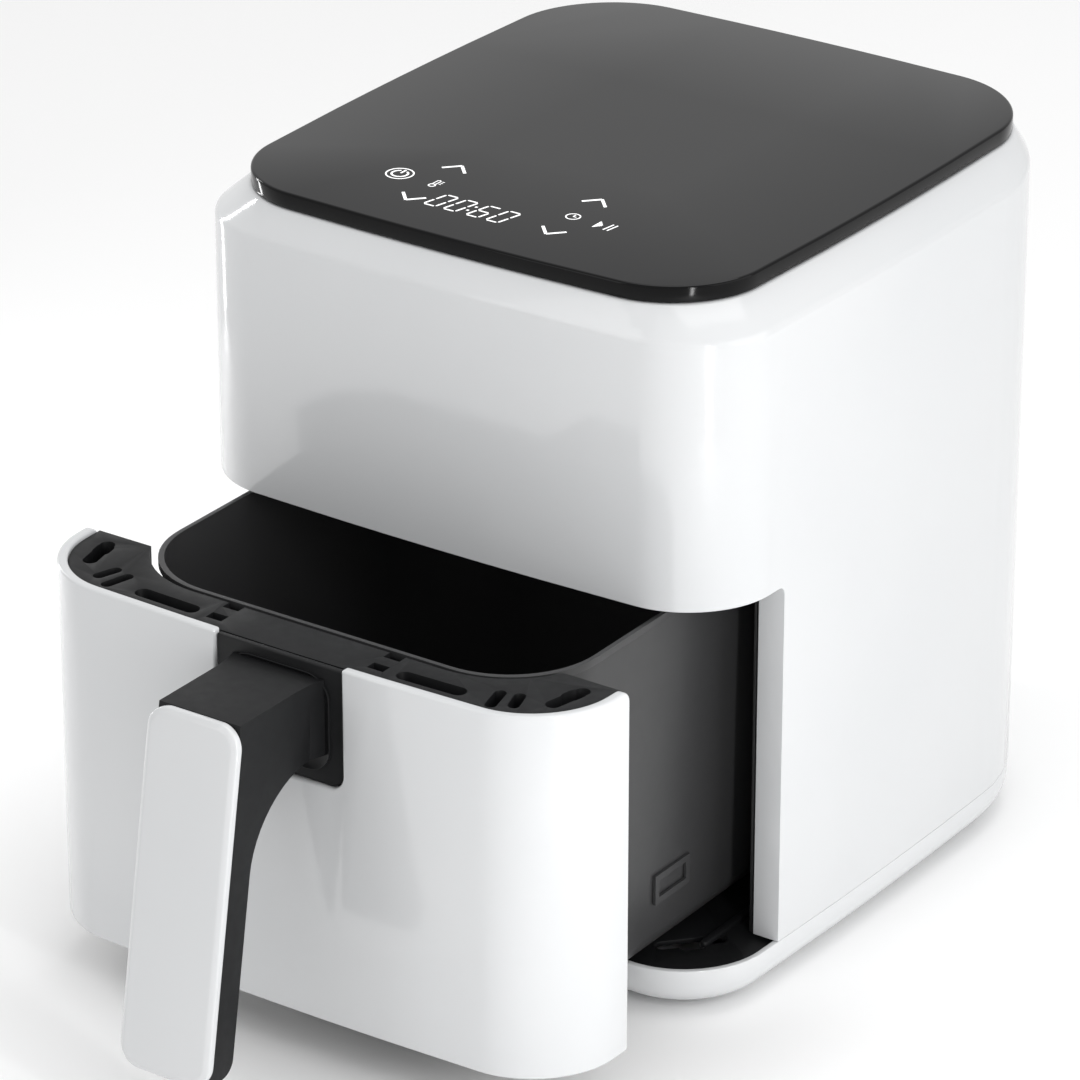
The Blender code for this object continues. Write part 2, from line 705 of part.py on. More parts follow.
def pan_catches(material, drawer):
    """Steel plates low on the pan's sides, where it clips to the frame."""
    inner = PAN_WIDTH / 2 - PAN_TAPER + CATCH_GAP
    for side, word in ((-1, "left"), (1, "right")):
        low_x, high_x = sorted((side * inner, side * (inner + CATCH_THICKNESS)))
        low = (low_x, CATCH_Y - CATCH_LENGTH / 2, CATCH_Z - CATCH_HEIGHT / 2)
        high = (high_x, CATCH_Y + CATCH_LENGTH / 2, CATCH_Z + CATCH_HEIGHT / 2)
        catch = box("pan_catch_" + word, low, high, material, drawer)
        cut_box(
            catch,
            (low_x - 0.01, CATCH_Y - CATCH_LENGTH / 2 + CATCH_RIM, CATCH_Z - CATCH_HEIGHT / 2 + CATCH_RIM),
            (high_x + 0.01, CATCH_Y + CATCH_LENGTH / 2 - CATCH_RIM, CATCH_Z + CATCH_HEIGHT / 2 - CATCH_RIM),
        )


def handle_bracket(material, drawer):
    half = BRACKET_WIDTH / 2
    back = -HALF_DEPTH + PANEL_THICKNESS
    corners = (
        (half, BRACKET_BOTTOM, 270), (half, FRAME_TOP, 0),
        (-half, FRAME_TOP, 90), (-half, BRACKET_BOTTOM, 180),
    )
    shape = []
    for x, z, start in corners:
        radius = 0.006 if z == BRACKET_BOTTOM else 0.001
        centre_x = x - math.copysign(radius, x)
        centre_z = z + radius if z == BRACKET_BOTTOM else z - radius
        for i in range(5):
            angle = math.radians(start + 90 * i / 4)
            shape.append((centre_x + radius * math.cos(angle), centre_z + radius * math.sin(angle)))
    skin("handle_bracket", [[(x, y, z) for x, z in shape] for y in (BRACKET_FACE, back)], material, drawer)


def grip_front(z):
    return GRIP_FRONT - (HANDLE_TOP - z) * math.tan(HANDLE_LEAN)


def grip_back(z):
    return grip_front(z) + GRIP_DEPTH


def handle_grip(material, drawer):
    """Arm that comes straight out of the bracket and bends down into a leaning grip."""
    under = HANDLE_TOP - ARM_HEIGHT
    side = [
        (HANDLE_ROOT, HANDLE_TOP),
        (GRIP_FRONT + 0.003, HANDLE_TOP),
        (grip_front(HANDLE_TOP - 0.003), HANDLE_TOP - 0.003),
        (grip_front(HANDLE_FOOT + 0.004), HANDLE_FOOT + 0.004),
        (grip_front(HANDLE_FOOT) + 0.003, HANDLE_FOOT),
        (grip_back(HANDLE_FOOT) - 0.006, HANDLE_FOOT),
        (grip_back(HANDLE_FOOT + 0.006), HANDLE_FOOT + 0.006),
    ]
    centre = (grip_back(under - ARM_BEND) + ARM_BEND, under - ARM_BEND)
    for i in range(7):
        angle = math.radians(180 - 90 * i / 6)
        side.append((centre[0] + ARM_BEND * math.cos(angle), centre[1] + ARM_BEND * math.sin(angle)))
    side.append((HANDLE_ROOT, under))
    half = HANDLE_WIDTH / 2
    grip = skin("handle_grip", [[(x, y, z) for y, z in side] for x in (-half, half)], material, drawer)
    bevel = grip.modifiers.new("Bevel", "BEVEL")
    bevel.width = 0.0022
    bevel.segments = 2
    bevel.limit_method = "ANGLE"
    bevel.angle_limit = math.radians(50)


def cover_ring(edge, out):
    """Outline of the grip's cover, this far in from its edge and this far out from the grip."""
    normal = Vector((0, -math.cos(HANDLE_LEAN), math.sin(HANDLE_LEAN)))
    down = Vector((0, -math.sin(HANDLE_LEAN), -math.cos(HANDLE_LEAN)))
    start = Vector((0, GRIP_FRONT, HANDLE_TOP)) + normal * FIT
    half_length = HANDLE_LENGTH / 2
    outline = rounded_rectangle(
        COVER_WIDTH / 2 - edge, half_length - edge, COVER_RADIUS - edge, centre=(0, half_length), arc_steps=6
    )
    return [Vector((x, 0, 0)) + start + down * along + normal * out for x, along in outline]


def handle_cover(material, drawer):
    edge = 0.0012
    rings = [cover_ring(0, 0), cover_ring(0, COVER_THICKNESS - edge), cover_ring(edge, COVER_THICKNESS)]
    skin("handle_cover", rings, material, drawer)


def handle_screws(material, drawer):
    for word, x in (("left", -0.012), ("right", 0.012)):
        screw = turned("handle_screw_" + word, [(0.003, 0), (0.003, 0.0018)], material, drawer, steps=10)
        screw.rotation_euler = (math.radians(90), 0, 0)
        screw.location = (x, -HALF_DEPTH + 0.0125, BRACKET_BOTTOM + 0.014)


def crisper_plate(dark, rubber, plate_body):
    clear = 0.0022
    inset = PAN_TAPER + PAN_WALL + clear
    low = PAN_FLOOR + PLATE_LIFT
    outline = pan_outline(inset)
    rings = [at_height(outline, z) for z in (low, low + PLATE_THICKNESS)]
    plate = skin("crisper_plate", rings, dark, plate_body)
    middle_y = (PAN_FRONT + PAN_BACK) / 2
    hole_profile = [(PLATE_HOLE_RADIUS, low - 0.005), (PLATE_HOLE_RADIUS, low + 0.01)]
    for row in range(-3, 4):
        for column in range(-3, 4):
            if abs(row) == 3 and abs(column) == 3 or row == column == 0:
                continue
            spot = (column * PLATE_HOLE_PITCH, middle_y + row * PLATE_HOLE_PITCH)
            cut(plate, turned("plate_hole", hole_profile, None, plate_body, spot, 8))
    spots = (("front_left", -1, -1), ("front_right", 1, -1), ("back_left", -1, 1), ("back_right", 1, 1))
    for word, side_x, side_y in spots:
        centre = (side_x * 0.066, middle_y + side_y * 0.074)
        profile = [(0.0045, PAN_FLOOR + PAN_WALL + FIT), (0.0055, low - FIT)]
        turned("plate_foot_" + word, profile, rubber, plate_body, centre, 10)


def empty(name, parent, location):
    holder = bpy.data.objects.new(name, None)
    bpy.context.scene.collection.objects.link(holder)
    holder.parent = parent
    holder.location = location
    return holder


def build():
    clear_scene()
    white = make_material("white_gloss", (0.86, 0.87, 0.88), 0.12)
    dark = make_material("dark_plastic", (0.035, 0.036, 0.038), 0.45)
    glass = make_material("black_glass", (0.03, 0.03, 0.031), 0.08)
    coating = make_material("nonstick", (0.02, 0.02, 0.021), 0.35)
    steel = make_material("steel", (0.62, 0.62, 0.63), 0.3, 1.0)
    rubber = make_material("rubber", (0.05, 0.05, 0.05), 0.8)
    board = make_material("circuit_board", (0.05, 0.22, 0.10), 0.5)

    root = empty("housing", None, (0, CENTRE_SHIFT, 0))
    drawer = empty("drawer", root, (0, -DRAWER_OPEN, 0))
    plate_body = empty("plate", drawer, (0, 0, 0))
    spin = empty("spin", root, (0, FAN_Y, 0))

    outer_shell(white, root)
    base_tray(white, root)
    floor_plate(dark, root)
    front_lintel(white, root)
    cavity_liner(coating, root)
    drawer_guides(steel, root)
    heater(steel, steel, root)
    motor(steel, board, root)
    fan(steel, dark, spin)
    glass_top(glass, dark, board, root)
    electronics(board, root)
    rear_vent(dark, root)
    cord_gland(rubber, root)
    feet(rubber, steel, root)

    drawer_panel(white, drawer)
    drawer_frame(dark, drawer)
    pan(coating, drawer)
    pan_catches(steel, drawer)
    handle_bracket(dark, drawer)
    handle_grip(dark, drawer)
    handle_cover(white, drawer)
    handle_screws(steel, drawer)
    crisper_plate(coating, rubber, plate_body)


build()
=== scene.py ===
import json
import math

import bmesh
import bpy
from mathutils import Matrix, Vector


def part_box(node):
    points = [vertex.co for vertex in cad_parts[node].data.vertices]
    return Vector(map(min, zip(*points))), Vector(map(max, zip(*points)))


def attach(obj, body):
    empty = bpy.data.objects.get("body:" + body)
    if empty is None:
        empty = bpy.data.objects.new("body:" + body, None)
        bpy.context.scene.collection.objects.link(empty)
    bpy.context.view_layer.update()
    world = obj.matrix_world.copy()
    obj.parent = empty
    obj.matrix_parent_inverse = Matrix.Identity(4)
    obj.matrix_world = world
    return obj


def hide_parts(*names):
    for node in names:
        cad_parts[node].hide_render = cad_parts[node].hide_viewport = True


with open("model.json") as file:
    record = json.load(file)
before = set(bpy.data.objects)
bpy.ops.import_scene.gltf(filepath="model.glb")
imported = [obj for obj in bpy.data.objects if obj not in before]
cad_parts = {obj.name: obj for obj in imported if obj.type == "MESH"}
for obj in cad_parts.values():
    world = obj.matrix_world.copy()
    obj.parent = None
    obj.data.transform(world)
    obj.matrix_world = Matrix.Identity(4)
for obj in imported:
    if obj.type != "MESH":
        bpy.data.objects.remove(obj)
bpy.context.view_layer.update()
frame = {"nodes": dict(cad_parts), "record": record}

# ---------------------------------------------------------------- sizes taken from the frame

SHELL_LOW, SHELL_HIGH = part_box("outer_shell")
BASE_LOW, BASE_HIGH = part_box("base_tray")
FLOOR_LOW, FLOOR_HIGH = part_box("floor_plate")
GLASS_LOW, GLASS_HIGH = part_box("glass_top")
LINTEL_LOW, LINTEL_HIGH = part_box("front_lintel")
LINER_LOW, LINER_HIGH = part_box("cavity_liner")
PANEL_LOW, PANEL_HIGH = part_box("drawer_panel")
RIM_LOW, RIM_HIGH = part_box("drawer_frame")
PAN_LOW, PAN_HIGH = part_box("pan")
PLATE_LOW, PLATE_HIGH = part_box("crisper_plate")
GRIP_LOW, GRIP_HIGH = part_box("handle_grip")
COVER_LOW, COVER_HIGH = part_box("handle_cover")
BRACKET_LOW, BRACKET_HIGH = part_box("handle_bracket")
VENT_LOW, VENT_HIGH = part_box("rear_vent")

HALF_WIDTH = SHELL_HIGH[0]
HALF_DEPTH = (SHELL_HIGH[1] - SHELL_LOW[1]) / 2
CENTRE_Y = (SHELL_HIGH[1] + SHELL_LOW[1]) / 2
DRAWER_OUT = SHELL_LOW[1] - PANEL_LOW[1]
DRAWER_CENTRE_Y = CENTRE_Y - DRAWER_OUT

SIDE_BOW = 0.0035
FRONT_RADIUS = 0.033
BACK_RADIUS = 0.074
GLASS_FRONT_RADIUS = 0.034
GLASS_BACK_RADIUS = 0.040
SHOULDER_DROP = 0.011
SHELL_WALL = 0.0025
JAMB_WIDTH = 0.011
JAMB_Y = LINTEL_HIGH[1] - SHELL_WALL
OPENING_TOP = LINTEL_LOW[2]
PANEL_WALL = 0.004
FIT = 0.0003
PLAY = 0.00001


# ---------------------------------------------------------------- modelling steps

def deselect():
    bpy.ops.object.select_all(action="DESELECT")


def make_active(obj):
    deselect()
    obj.select_set(True)
    bpy.context.view_layer.objects.active = obj


def pick(obj, kind, test):
    """Opens a piece in edit mode with just the faces, edges or vertices selected that pass a test."""
    make_active(obj)
    bpy.ops.object.mode_set(mode="EDIT")
    bpy.ops.mesh.select_mode(type=kind)
    bpy.ops.mesh.select_all(action="DESELECT")
    mesh = bmesh.from_edit_mesh(obj.data)
    for item in {"FACE": mesh.faces, "EDGE": mesh.edges, "VERT": mesh.verts}[kind]:
        if test(item):
            item.select_set(True)
    bmesh.update_edit_mesh(obj.data)


def pick_all(obj):
    make_active(obj)
    bpy.ops.object.mode_set(mode="EDIT")
    bpy.ops.mesh.select_all(action="SELECT")


def close_edit():
    bpy.ops.object.mode_set(mode="OBJECT")


def middle(edge):
    return (edge.verts[0].co + edge.verts[1].co) / 2


def both(edge, axis, value, near=PLAY):
    """True where both ends of an edge lie at one height, or at one place along x or y."""
    return all(abs(vert.co[axis] - value) < near for vert in edge.verts)


def spans(edge, axis, least):
    """True where an edge runs further than this along x, y or z."""
    return abs(edge.verts[0].co[axis] - edge.verts[1].co[axis]) > least


def upright(edge):
    a, b = edge.verts
    return abs(a.co.x - b.co.x) < PLAY and abs(a.co.y - b.co.y) < PLAY


def block(name, low, high):
    """A block between two corners, named and ready to be shaped."""
    deselect()
    centre = [(low[k] + high[k]) / 2 for k in range(3)]
    bpy.ops.mesh.primitive_cube_add(size=1, location=centre)
    obj = bpy.context.object
    obj.scale = [high[k] - low[k] for k in range(3)]
    bpy.ops.object.transform_apply(location=True, rotation=True, scale=True)
    obj.name = name
    obj.data.name = name
    return obj


def bevel_picked(width, steps, corners=False):
    kind = "VERTICES" if corners else "EDGES"
    bpy.ops.mesh.bevel(offset=width, segments=steps, affect=kind, profile=0.5)
    close_edit()


def rounded_block(name, low, high, radius, steps=16):
    """A block with its four upright edges rounded."""
    obj = block(name, low, high)
    pick(obj, "EDGE", upright)
    bevel_picked(radius, steps)
    return obj


def slice_at(obj, point, normal, keep="both"):
    """Cuts across a piece. The side that the normal points to, or the other, can be taken away."""
    pick_all(obj)
    bpy.ops.mesh.bisect(
        plane_co=point, plane_no=normal, clear_outer=keep == "below", clear_inner=keep == "above"
    )
    close_edit()


def bowed_block(name, half_x, half_y, centre_y, radii, low_z, high_z):
    """A block with its own radius at the front and back corners, whose sides bulge slightly outwards."""
    half_x -= SIDE_BOW
    half_y -= SIDE_BOW
    obj = block(name, (-half_x, centre_y - half_y, low_z), (half_x, centre_y + half_y, high_z))
    pick(obj, "EDGE", lambda edge: upright(edge) and middle(edge).y < centre_y)
    bevel_picked(radii[0], 20)
    pick(obj, "EDGE", lambda edge: upright(edge) and middle(edge).y > centre_y)
    bevel_picked(radii[1], 20)
    for share in (-0.36, -0.18, 0, 0.18, 0.36):
        slice_at(obj, (half_x * share, 0, 0), (1, 0, 0))
        slice_at(obj, (0, centre_y + half_y * share, 0), (0, 1, 0))
    for vert in obj.data.vertices:
        x = vert.co.x
        y = vert.co.y - centre_y
        vert.co.x = x * (1 + SIDE_BOW / half_x * (1 - (y / half_y) ** 2))
        vert.co.y = centre_y + y * (1 + SIDE_BOW / half_y * (1 - (x / half_x) ** 2))
    return obj


def housing_block(name, inset, low_z, high_z, centre_y=CENTRE_Y):
    """A block in the plan of the housing, inset from its outside."""
    radii = (FRONT_RADIUS - inset, BACK_RADIUS - inset)
    return bowed_block(name, HALF_WIDTH - inset, HALF_DEPTH - inset, centre_y, radii, low_z, high_z)


def glass_block(name, inset, low_z, high_z):
    """A block in the plan of the glass, which sits a little in front of the middle of the housing."""
    half_y = (GLASS_HIGH[1] - GLASS_LOW[1]) / 2
    centre_y = (GLASS_HIGH[1] + GLASS_LOW[1]) / 2
    radii = (GLASS_FRONT_RADIUS - inset, GLASS_BACK_RADIUS - inset)
    return bowed_block(name, GLASS_HIGH[0] - inset, half_y - inset, centre_y, radii, low_z, high_z)


def take_away(obj, test, kind="FACE"):
    pick(obj, kind, test)
    bpy.ops.mesh.delete(type=kind)
    close_edit()


def round_picked(obj, test, width, steps):
    pick(obj, "EDGE", test)
    bevel_picked(width, steps)


def apply_modifier(obj, kind, **settings):
    make_active(obj)
    modifier = obj.modifiers.new(kind.title(), kind)
    for key, value in settings.items():
        setattr(modifier, key, value)
    bpy.ops.object.modifier_apply(modifier=modifier.name)


def thicken(obj, wall):
    apply_modifier(obj, "SOLIDIFY", thickness=wall, offset=-1, use_even_offset=True)


def soften(obj, width, steps=3, angle=32):
    """Rounds every sharp edge by a small radius, then smooths the shading."""
    apply_modifier(
        obj, "BEVEL", width=width, segments=steps, limit_method="ANGLE", angle_limit=math.radians(angle),
        miter_outer="MITER_ARC", harden_normals=False,
    )
    smooth(obj)


def smooth(obj, angle=30):
    make_active(obj)
    bpy.ops.object.shade_smooth_by_angle(angle=math.radians(angle))


def carve(obj, *cutters, operation="DIFFERENCE"):
    for cutter in cutters:
        apply_modifier(obj, "BOOLEAN", operation=operation, solver="EXACT", object=cutter)
        bpy.data.objects.remove(cutter)


def join(name, parts):
    deselect()
    for part in parts:
        part.select_set(True)
    bpy.context.view_layer.objects.active = parts[0]
    if len(parts) > 1:
        bpy.ops.object.join()
    parts[0].name = name
    return parts[0]


def turn(obj, angle, axis, centre):
    """Turns a piece about a point and writes its new place into its mesh."""
    move = Matrix.Translation(centre) @ Matrix.Rotation(angle, 4, axis) @ Matrix.Translation(-Vector(centre))
    obj.data.transform(move)
    return obj


def slot_cutter(centre, length, width, low_z, high_z, angle):
    low = (centre[0] - length / 2, centre[1] - width / 2, low_z)
    high = (centre[0] + length / 2, centre[1] + width / 2, high_z)
    cutter = rounded_block("slot_cutter", low, high, width / 2 - PLAY, 6)
    return turn(cutter, angle, "Z", (centre[0], centre[1], low_z))


def finish_piece(obj, body, material, slot, *nodes):
    """Puts the finish on a piece, hands it to its body and lets it stand for its nodes."""
    obj.data.materials.clear()
    obj.data.materials.append(material)
    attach(obj, body)
    if nodes:
        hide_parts(*nodes)
    return obj


# ---------------------------------------------------------------- finishes

class Finish:
    """A material under construction: its nodes, its links and its shader."""

    def __init__(self, name, colour, roughness, metallic=0.0):
        self.material = bpy.data.materials.new(name)
        self.material.use_nodes = True
        self.nodes = self.material.node_tree.nodes
        self.links = self.material.node_tree.links
        self.shader = self.nodes["Principled BSDF"]
        self.shader.inputs["Base Color"].default_value = (*colour, 1)
        self.shader.inputs["Roughness"].default_value = roughness
        self.shader.inputs["Metallic"].default_value = metallic
        self.place = self.nodes.new("ShaderNodeTexCoord").outputs["Object"]

    def noise(self, scale, detail=3.0, stretch=None):
        node = self.nodes.new("ShaderNodeTexNoise")
        node.inputs["Scale"].default_value = scale
        node.inputs["Detail"].default_value = detail
        source = self.place
        if stretch:
            mapping = self.nodes.new("ShaderNodeMapping")
            mapping.inputs["Scale"].default_value = stretch
            self.links.new(source, mapping.inputs["Vector"])
            source = mapping.outputs["Vector"]
        self.links.new(source, node.inputs["Vector"])
        return node.outputs["Fac"]

    def cells(self, scale):
        node = self.nodes.new("ShaderNodeTexVoronoi")
        node.inputs["Scale"].default_value = scale
        self.links.new(self.place, node.inputs["Vector"])
        return node.outputs["Distance"]

    def spread(self, value, low, high, from_low=0.3, from_high=0.7):
        node = self.nodes.new("ShaderNodeMapRange")
        node.inputs["From Min"].default_value = from_low
        node.inputs["From Max"].default_value = from_high
        node.inputs["To Min"].default_value = low
        node.inputs["To Max"].default_value = high
        self.links.new(value, node.inputs["Value"])
        return node.outputs["Result"]

    def colours(self, value, low, high, low_at=0.3, high_at=0.7):
        ramp = self.nodes.new("ShaderNodeValToRGB")
        ramp.color_ramp.elements[0].position = low_at
        ramp.color_ramp.elements[1].position = high_at
        ramp.color_ramp.elements[0].color = (*low, 1)
        ramp.color_ramp.elements[1].color = (*high, 1)
        self.links.new(value, ramp.inputs["Fac"])
        return ramp.outputs["Color"]

    def drive(self, socket, value):
        self.links.new(value, self.shader.inputs[socket])

    def bump(self, height, strength, distance):
        node = self.nodes.new("ShaderNodeBump")
        node.inputs["Strength"].default_value = strength
        node.inputs["Distance"].default_value = distance
        self.links.new(height, node.inputs["Height"])
        self.drive("Normal", node.outputs["Normal"])


def white_gloss():
    """Injection-moulded white with a polished skin and a trace of flow waviness."""
    finish = Finish("white_gloss", (0.62, 0.63, 0.64), 0.12)
    finish.shader.inputs["Coat Weight"].default_value = 0.35
    finish.shader.inputs["Coat Roughness"].default_value = 0.04
    tint = finish.colours(finish.noise(9, 2), (0.610, 0.620, 0.630), (0.632, 0.640, 0.648))
    finish.drive("Base Color", tint)
    finish.drive("Roughness", finish.spread(finish.noise(60, 4), 0.10, 0.17))
    finish.bump(finish.noise(45, 1), 0.05, 0.0006)
    return finish.material


def black_satin():
    """Black plastic from a spark-eroded mould: a fine even grain."""
    finish = Finish("black_satin", (0.006, 0.0062, 0.0068), 0.45)
    finish.shader.inputs["Specular IOR Level"].default_value = 0.24
    tint = finish.colours(finish.noise(30, 3), (0.0052, 0.0054, 0.0060), (0.0070, 0.0072, 0.0078))
    finish.drive("Base Color", tint)
    finish.drive("Roughness", finish.spread(finish.noise(220, 4), 0.41, 0.49))
    finish.bump(finish.noise(2600, 2), 0.15, 0.0001)
    return finish.material


def nonstick():
    """Dark coating sprayed on pressed steel: low orange peel and fine light flecks."""
    finish = Finish("nonstick_coating", (0.040, 0.040, 0.041), 0.36)
    finish.shader.inputs["Specular IOR Level"].default_value = 0.42
    tint = finish.colours(finish.cells(900), (0.060, 0.060, 0.061), (0.038, 0.038, 0.039), 0.04, 0.14)
    finish.drive("Base Color", tint)
    finish.drive("Roughness", finish.spread(finish.noise(160, 3), 0.33, 0.39))
    finish.bump(finish.noise(1400, 2), 0.08, 0.0001)
    return finish.material


def black_glass():
    """Toughened glass printed black behind, with the faintest wiping marks."""
    finish = Finish("black_glass", (0.006, 0.006, 0.0065), 0.05)
    finish.shader.inputs["Specular IOR Level"].default_value = 0.24
    tint = finish.colours(finish.noise(14, 2), (0.0055, 0.0055, 0.006), (0.0068, 0.0068, 0.0073))
    finish.drive("Base Color", tint)
    finish.drive("Roughness", finish.spread(finish.noise(26, 5, (1, 0.3, 1)), 0.04, 0.075))
    finish.bump(finish.noise(12, 1), 0.01, 0.0003)
    return finish.material


def glass_edge_painted_shade():
    """The ground and polished rim of the glass, darker than its face: painted shade, a darker and less shiny
    copy of the glass finish standing in for the dark reflection along the edge.
    """
    finish = Finish("glass_edge_painted_shade", (0.002, 0.002, 0.0022), 0.10)
    finish.shader.inputs["Specular IOR Level"].default_value = 0.16
    tint = finish.colours(finish.noise(40, 2), (0.0015, 0.0015, 0.0017), (0.0026, 0.0026, 0.0028))
    finish.drive("Base Color", tint)
    finish.drive("Roughness", finish.spread(finish.noise(90, 3), 0.08, 0.14))
    finish.bump(finish.noise(120, 1), 0.02, 0.0002)
    return finish.material


def brushed_steel():
    finish = Finish("brushed_steel", (0.58, 0.58, 0.59), 0.3, 1.0)
    grain = finish.noise(420, 4, (0.04, 1, 1))
    finish.drive("Base Color", finish.colours(grain, (0.50, 0.50, 0.51), (0.66, 0.66, 0.67)))
    finish.drive("Roughness", finish.spread(grain, 0.24, 0.42))
    finish.bump(grain, 0.12, 0.00008)
    return finish.material


def cast_aluminium():
    finish = Finish("pressed_aluminium", (0.70, 0.70, 0.72), 0.35, 1.0)
    finish.drive("Base Color", finish.colours(finish.noise(80, 4), (0.62, 0.62, 0.64), (0.74, 0.74, 0.76)))
    finish.drive("Roughness", finish.spread(finish.noise(240, 4), 0.30, 0.46))
    finish.bump(finish.noise(900, 3), 0.12, 0.0001)
    return finish.material


def soft_rubber():
    finish = Finish("soft_rubber", (0.018, 0.018, 0.018), 0.75)
    tint = finish.colours(finish.noise(120, 3), (0.014, 0.014, 0.014), (0.024, 0.024, 0.024))
    finish.drive("Base Color", tint)
    finish.drive("Roughness", finish.spread(finish.noise(300, 3), 0.68, 0.85))
    finish.bump(finish.noise(1500, 2), 0.25, 0.0001)
    return finish.material


def circuit_green():
    finish = Finish("circuit_lacquer", (0.02, 0.16, 0.06), 0.35)
    tracks = finish.cells(260)
    finish.drive("Base Color", finish.colours(tracks, (0.05, 0.26, 0.10), (0.012, 0.11, 0.045), 0.18, 0.24))
    finish.drive("Roughness", finish.spread(finish.noise(150, 3), 0.28, 0.45))
    finish.bump(tracks, 0.2, 0.00015)
    return finish.material


def symbol_white():
    """Lit white print behind the glass."""
    finish = Finish("symbol_white", (0.85, 0.86, 0.86), 0.3)
    finish.shader.inputs["Emission Color"].default_value = (1, 1, 1, 1)
    finish.shader.inputs["Emission Strength"].default_value = 0.55
    finish.drive("Base Color", finish.colours(finish.noise(900, 2), (0.80, 0.81, 0.81), (0.90, 0.91, 0.91)))
    finish.drive("Roughness", finish.spread(finish.noise(500, 2), 0.25, 0.35))
    return finish.material


WHITE = white_gloss()
BLACK = black_satin()
COATING = nonstick()
GLASS = black_glass()
STEEL = brushed_steel()
ALUMINIUM = cast_aluminium()
RUBBER = soft_rubber()
BOARD = circuit_green()
SYMBOL = symbol_white()
GLASS_EDGE_PAINTED_SHADE = glass_edge_painted_shade()


# ---------------------------------------------------------------- housing

def in_opening(face):
    """True for the part of the front whose place the drawer takes."""
    centre = face.calc_center_median()
    return centre.z < OPENING_TOP and centre.y < JAMB_Y


def sloping(edge):
    return any(0.1 < abs(face.normal.z) < 0.95 for face in edge.link_faces)


def shell_piece():
    """The white shell: chamfered shoulder, ledge for the glass, drawer opening with inward flanges."""
    low_z, high_z = SHELL_LOW[2], SHELL_HIGH[2]
    ridge_z = high_z - SHOULDER_DROP
    shell = housing_block("shell", 0, low_z, ridge_z)
    slice_at(shell, (0, 0, OPENING_TOP), (0, 0, 1))
    slice_at(shell, (0, JAMB_Y, 0), (0, 1, 0))
    take_away(shell, lambda face: abs(face.normal.z) > 0.9)
    take_away(shell, in_opening)
    ledge = glass_block("ledge", -0.0005, high_z - 0.001, high_z)
    take_away(ledge, lambda face: face.normal.z < 0.9)
    shell = join("shell", [shell, ledge])
    pick(shell, "EDGE", lambda edge: edge.is_boundary and (both(edge, 2, ridge_z) or both(edge, 2, high_z)))
    bpy.ops.mesh.bridge_edge_loops()
    close_edit()
    round_picked(shell, lambda edge: both(edge, 2, ridge_z) and sloping(edge), 0.0018, 4)
    round_picked(shell, lambda edge: both(edge, 2, high_z) and sloping(edge), 0.0009, 3)
    pick(shell, "FACE", lambda face: face.normal.z > 0.999)
    bpy.ops.mesh.inset(thickness=0.010)
    bpy.ops.mesh.delete(type="FACE")
    close_edit()
    pick(shell, "VERT", lambda vert: abs(vert.co.y - JAMB_Y) < PLAY and abs(vert.co.z - OPENING_TOP) < PLAY)
    bevel_picked(0.0035, 5, corners=True)
    for side in (-1, 1):
        pick(
            shell, "EDGE",
            lambda edge: edge.is_boundary and middle(edge).x * side > 0 and middle(edge).y > JAMB_Y - 0.004
            and middle(edge).y < CENTRE_Y - 0.05 and low_z + PLAY < middle(edge).z < OPENING_TOP - PLAY,
        )
        bpy.ops.mesh.extrude_edges_move(TRANSFORM_OT_translate={"value": (-side * JAMB_WIDTH, 0, 0)})
        close_edit()
    pick_all(shell)
    bpy.ops.mesh.normals_make_consistent(inside=False)
    close_edit()
    thicken(shell, SHELL_WALL)
    vent_hole = block("vent_hole", (VENT_LOW[0] - FIT, VENT_LOW[1] - 0.01, VENT_LOW[2] - FIT),
                      (VENT_HIGH[0] + FIT, VENT_HIGH[1] + 0.01, VENT_HIGH[2] + FIT))
    carve(shell, vent_hole)
    soften(shell, 0.0005, 3, 40)
    return finish_piece(shell, "housing", WHITE, "white_plastic", "outer_shell")


def base_piece():
    """White base: a dish drawn in at the bottom, with a lip round the floor plate."""
    base = housing_block("base", 0, BASE_LOW[2], BASE_HIGH[2])
    tuck = 0.0125
    take_away(base, lambda face: face.normal.z > 0.9)
    round_picked(
        base,
        lambda edge: both(edge, 2, BASE_LOW[2]) and any(face.normal.z > -0.5 for face in edge.link_faces),
        tuck, 8,
    )
    thicken(base, 0.0024)
    soften(base, 0.0004, 3, 40)
    return finish_piece(base, "housing", WHITE, "white_plastic", "base_tray")


def floor_piece():
    """Dark floor: a slot in each front corner and a rail on each side of the pan."""
    inset = HALF_WIDTH - FLOOR_HIGH[0]
    floor = housing_block("floor", inset, FLOOR_LOW[2], FLOOR_HIGH[2])
    low, high = FLOOR_LOW[2] - 0.005, FLOOR_HIGH[2] + 0.005
    front = SHELL_LOW[1]
    cutters = []
    for side in (-1, 1):
        centre = (side * (HALF_WIDTH - 0.030), front + 0.031)
        cutters.append(slot_cutter(centre, 0.028, 0.0060, low, high, side * math.radians(48)))
        bump = (centre[0] + side * 0.0016, centre[1] - 0.0016)
        cutters.append(slot_cutter(bump, 0.011, 0.0072, low, high, side * math.radians(48)))
    carve(floor, *cutters)
    soften(floor, 0.0004, 2, 40)
    finish_piece(floor, "housing", BLACK, "black_plastic", "floor_plate")
    rails = []
    for side in (-1, 1):
        x = side * 0.0985
        rail = rounded_block("rail", (x - 0.0015, front + 0.030, FLOOR_HIGH[2] - 0.0002),
                             (x + 0.0015, CENTRE_Y + 0.09, FLOOR_HIGH[2] + 0.0022), 0.0014, 5)
        rails.append(rail)
    track = join("floor_track", rails)
    soften(track, 0.0006, 2, 40)
    return finish_piece(track, "housing", BLACK, "black_plastic")


